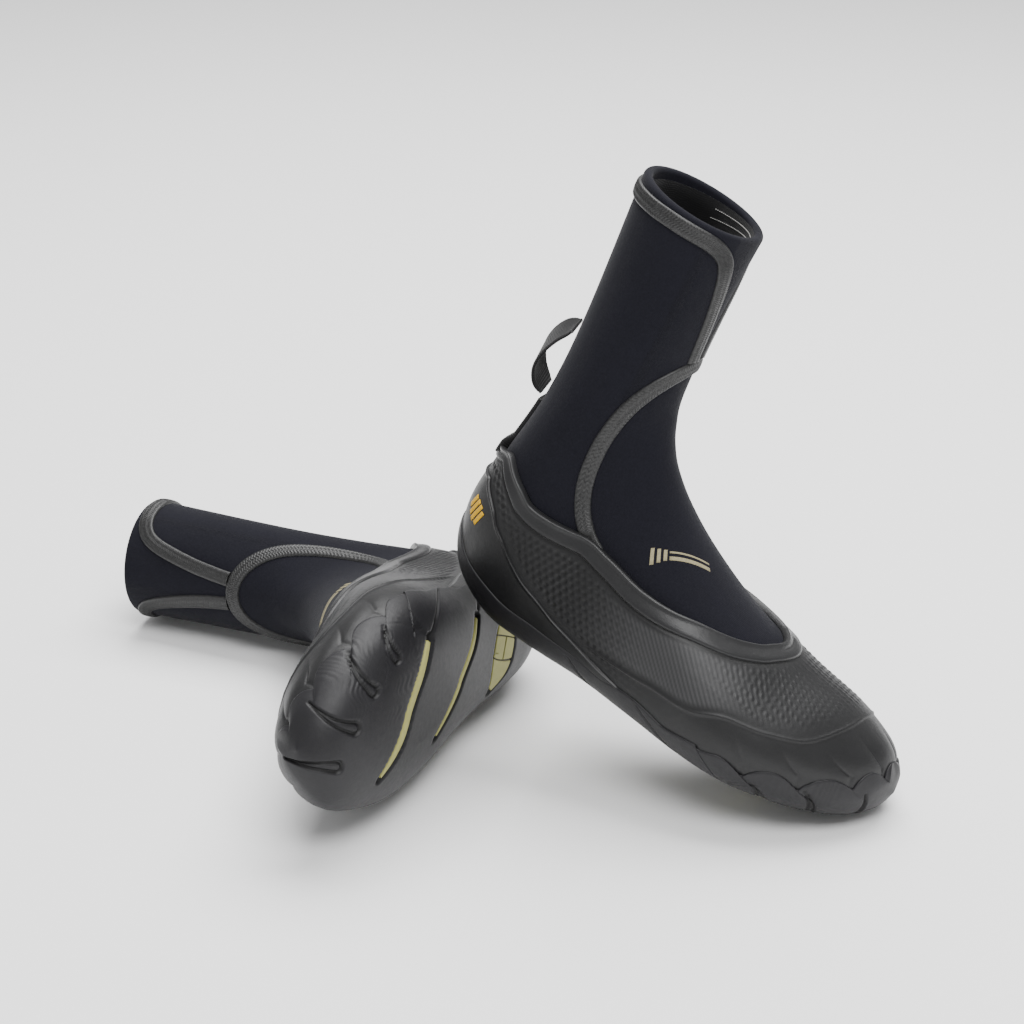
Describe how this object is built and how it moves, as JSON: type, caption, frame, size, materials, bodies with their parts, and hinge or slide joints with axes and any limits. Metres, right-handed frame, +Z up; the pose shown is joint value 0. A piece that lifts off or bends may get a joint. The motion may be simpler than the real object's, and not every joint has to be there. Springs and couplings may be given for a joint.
{
  "type": "pair of neoprene water boots",
  "caption": "Ankle-high stretch neoprene water boots with a rubber foot shell, flexible moulded sole, taped seams and a webbing pull loop at the back.",
  "frame": {"origin": "floor level under the middle of the pair's bounding box", "axes": "+Z up; +X from the mouth of the lying left boot towards the toe of the leaning right boot; +Y away from a viewer facing the right boot's outer side"},
  "size_m": [0.4366, 0.334, 0.3274],
  "materials": {
    "neoprene": "matte knit jersey over foam rubber",
    "rubber": "satin moulded rubber with fine relief",
    "sole": "satin moulded rubber with fine tread",
    "lime": "matte moulded rubber",
    "tape": "satin stretch tape with embossed ribs",
    "webbing": "woven webbing",
    "lining": "matte knit lining",
    "foam": "matte foam"
  },
  "bodies": {
    "left_foot": {"left_outsole": "sole", "left_flex_stripe_front": "lime", "left_flex_stripe_rear": "lime", "left_heel_inlay": "lime", "left_rubber_upper": "rubber", "left_heel_counter": "rubber", "left_topline_band": "rubber", "left_sole_board": "neoprene", "left_side_panel": "neoprene", "left_insole": "foam", "left_lining": "lining", "left_instep_panel": "neoprene", "left_throat_panel": "neoprene", "left_heel_panel": "neoprene", "left_instep_tape": "tape"},
    "left_shaft": {"left_calf_panel": "neoprene", "left_collar_panel": "neoprene", "left_collar_tape": "tape", "left_back_strap": "webbing"},
    "left_pull_loop_body": {"left_pull_loop": "webbing"},
    "right_foot": {"right_outsole": "sole", "right_flex_stripe_front": "lime", "right_flex_stripe_rear": "lime", "right_heel_inlay": "lime", "right_rubber_upper": "rubber", "right_heel_counter": "rubber", "right_topline_band": "rubber", "right_sole_board": "neoprene", "right_side_panel": "neoprene", "right_insole": "foam", "right_lining": "lining", "right_instep_panel": "neoprene", "right_throat_panel": "neoprene", "right_heel_panel": "neoprene", "right_instep_tape": "tape"},
    "right_shaft": {"right_calf_panel": "neoprene", "right_collar_panel": "neoprene", "right_collar_tape": "tape", "right_back_strap": "webbing"},
    "right_pull_loop_body": {"right_pull_loop": "webbing"}
  },
  "joints": [
    {"name": "right_boot_lift", "type": "slide", "parent": "left_foot", "child": "right_foot", "axis": [0, 0, 1], "range_m": [0, 0.3]},
    {"name": "left_ankle_flex", "type": "hinge", "parent": "left_foot", "child": "left_shaft", "pos_m": [-0.06093, 0.06601, 0.03785], "axis": [0.0536, 0.121, 0.9912], "range_deg": [-20, 20], "stiffness_Nm_per_rad": 3, "deforming": ["left_throat_panel", "left_instep_tape", "left_lining", "left_back_strap"]},
    {"name": "right_ankle_flex", "type": "hinge", "parent": "right_foot", "child": "right_shaft", "pos_m": [0.05021, -0.03397, 0.16239], "axis": [-0.3558, -0.9268, 0.12], "range_deg": [-20, 20], "stiffness_Nm_per_rad": 3, "deforming": ["right_throat_panel", "right_instep_tape", "right_lining", "right_back_strap"]},
    {"name": "left_pull_loop_flop", "type": "hinge", "parent": "left_shaft", "child": "left_pull_loop_body", "pos_m": [-0.09378, 0.11889, 0.03317], "axis": [-0.9245, 0.3812, 0.0034], "range_deg": [-15, 15], "stiffness_Nm_per_rad": 0.02},
    {"name": "right_pull_loop_flop", "type": "hinge", "parent": "right_shaft", "child": "right_pull_loop_body", "pos_m": [0.04118, -0.02265, 0.2231], "axis": [0.4256, -0.0464, 0.9037], "range_deg": [-15, 15], "stiffness_Nm_per_rad": 0.02}
  ]
}
